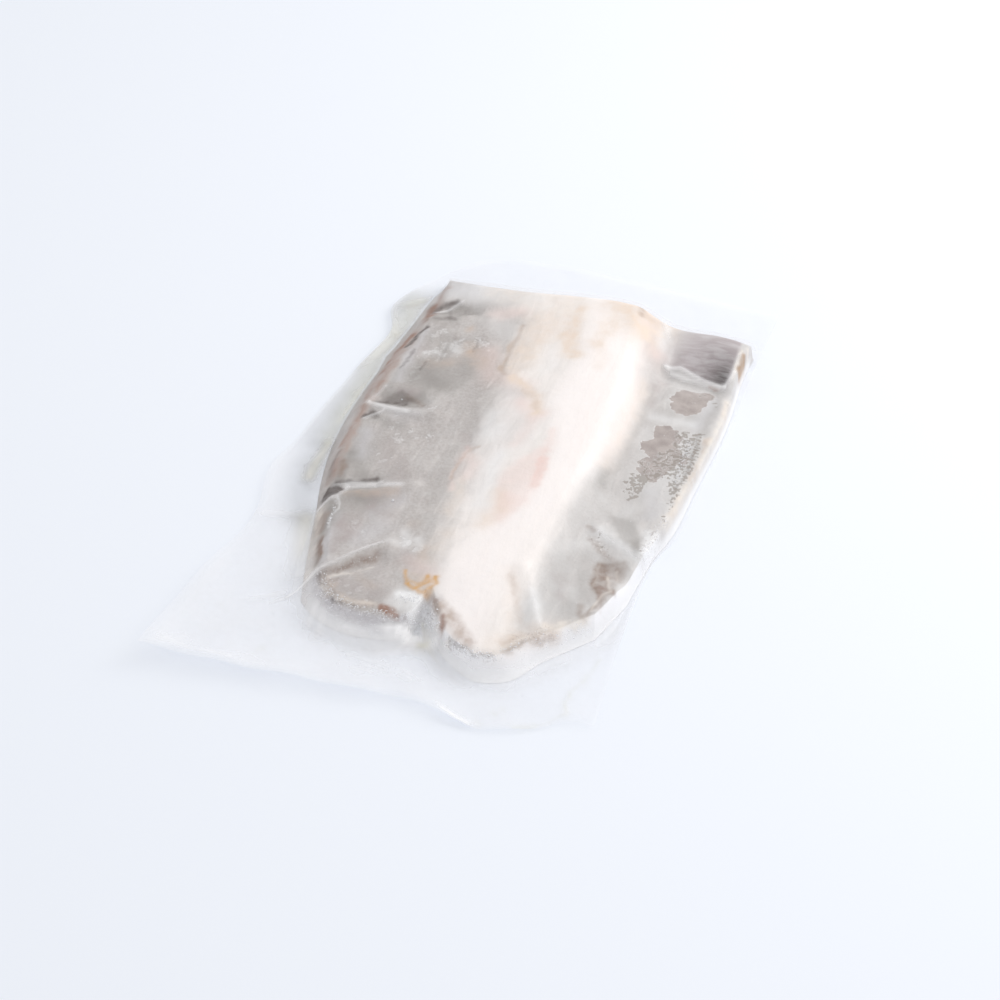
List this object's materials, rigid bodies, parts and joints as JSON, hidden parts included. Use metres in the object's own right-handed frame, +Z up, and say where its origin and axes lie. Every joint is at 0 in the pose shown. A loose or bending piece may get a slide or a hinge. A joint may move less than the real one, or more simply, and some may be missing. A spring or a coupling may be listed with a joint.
{
  "type": "vacuum-packed milkfish belly",
  "caption": "Opened frozen milkfish belly, inner side up with its ridge of fat, sealed in a clear vacuum pouch with a wide thin margin.",
  "frame": {"origin": "on the table under the middle of the pouch's box", "axes": "+Y along the fish towards its straight cut, +Z up; +X is towards the flank with the rolled corner"},
  "size_m": [0.168, 0.272, 0.0178],
  "materials": {
    "fish_flesh": "frosted flesh and fat, cream to grey",
    "pouch_film": "clear soft film with a faint haze",
    "frost": "small white ice crystals"
  },
  "bodies": {
    "root": {"belly_pouch": "fish_flesh"}
  },
  "joints": []
}
